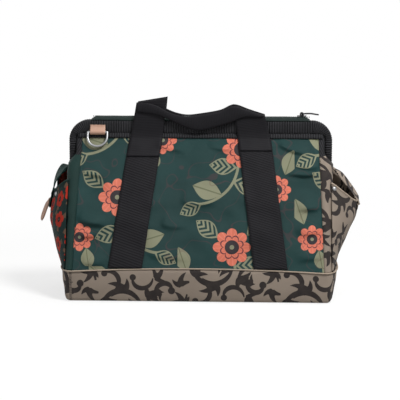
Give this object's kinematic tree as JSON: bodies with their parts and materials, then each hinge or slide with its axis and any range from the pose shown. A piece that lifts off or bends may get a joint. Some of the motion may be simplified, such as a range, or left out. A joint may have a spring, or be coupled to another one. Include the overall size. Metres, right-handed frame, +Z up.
{
  "type": "carpet bag",
  "caption": "Soft framed-mouth carpet bag with hinged mouth rods in sleeves, zip, webbing handles, end pockets, D-rings and a firm base.",
  "frame": {"origin": "middle of the base's underside, on the floor", "axes": "+X along the bag to the right as seen from the front, front faces -Y, +Z up"},
  "size_m": [0.4889, 0.1918, 0.297],
  "materials": {
    "board": "matt grey board",
    "scroll_cloth": "taupe cloth with a dark scroll print",
    "printed_twill": "dark green twill with a coral and olive print",
    "lining_cloth": "coral red cloth",
    "blossom_cloth": "dark green cloth with small red blossoms",
    "green_cloth": "plain dark green cloth",
    "tab_leather": "natural peach leather",
    "nickel": "bright nickel",
    "webbing": "black ribbed webbing",
    "zip_metal": "black enamel",
    "dark_steel": "black steel rod",
    "ribbed_cloth": "black ribbed cloth",
    "zip_teeth": "dark coil zip"
  },
  "bodies": {
    "bag": {"base_board": "board", "base_boot": "scroll_cloth", "front_panel": "printed_twill", "back_panel": "printed_twill", "left_gusset": "green_cloth", "right_gusset": "scroll_cloth", "lining": "lining_cloth", "left_pocket": "blossom_cloth", "right_pocket": "scroll_cloth", "left_pocket_strap": "green_cloth", "right_pocket_strap": "scroll_cloth", "left_pull_tab": "tab_leather", "pocket_rivets": "nickel", "front_strap_left": "webbing", "front_strap_right": "webbing", "back_strap_left": "webbing", "back_strap_right": "webbing", "pivot_pins": "nickel"},
    "front_mouth": {"front_frame": "dark_steel", "front_sleeve": "ribbed_cloth", "front_zip_strip": "green_cloth", "front_zip_chain": "zip_teeth", "front_handle": "webbing", "front_ring_tab": "tab_leather"},
    "rear_mouth": {"rear_frame": "dark_steel", "rear_sleeve": "ribbed_cloth", "rear_zip_strip": "green_cloth", "rear_zip_chain": "zip_teeth", "rear_handle": "webbing", "rear_ring_tab": "tab_leather"},
    "zip_slider": {"zip_slider": "zip_metal"},
    "zip_pull": {"zip_pull": "zip_metal"},
    "front_ring": {"front_d_ring": "nickel"},
    "rear_ring": {"rear_d_ring": "nickel"}
  },
  "joints": [
    {"name": "front_mouth_hinge", "type": "hinge", "parent": "bag", "child": "front_mouth", "pos_m": [0, 0, 0.186], "axis": [1, 0, 0], "range_deg": [0, 35]},
    {"name": "rear_mouth_hinge", "type": "hinge", "parent": "bag", "child": "rear_mouth", "pos_m": [0, 0, 0.186], "axis": [-1, 0, 0], "range_deg": [0, 35]},
    {"name": "zip_slide", "type": "slide", "parent": "rear_mouth", "child": "zip_slider", "axis": [-1, 0, 0], "range_m": [0, 0.306]},
    {"name": "zip_pull_hinge", "type": "hinge", "parent": "zip_slider", "child": "zip_pull", "pos_m": [0.153, 0, 0.272], "axis": [0, -1, 0], "range_deg": [0, 180]},
    {"name": "front_ring_hinge", "type": "hinge", "parent": "front_mouth", "child": "front_ring", "pos_m": [-0.155, -0.0163, 0.244], "axis": [-1, 0, 0], "range_deg": [0, 120]},
    {"name": "rear_ring_hinge", "type": "hinge", "parent": "rear_mouth", "child": "rear_ring", "pos_m": [0.155, 0.0163, 0.244], "axis": [1, 0, 0], "range_deg": [0, 120]}
  ]
}
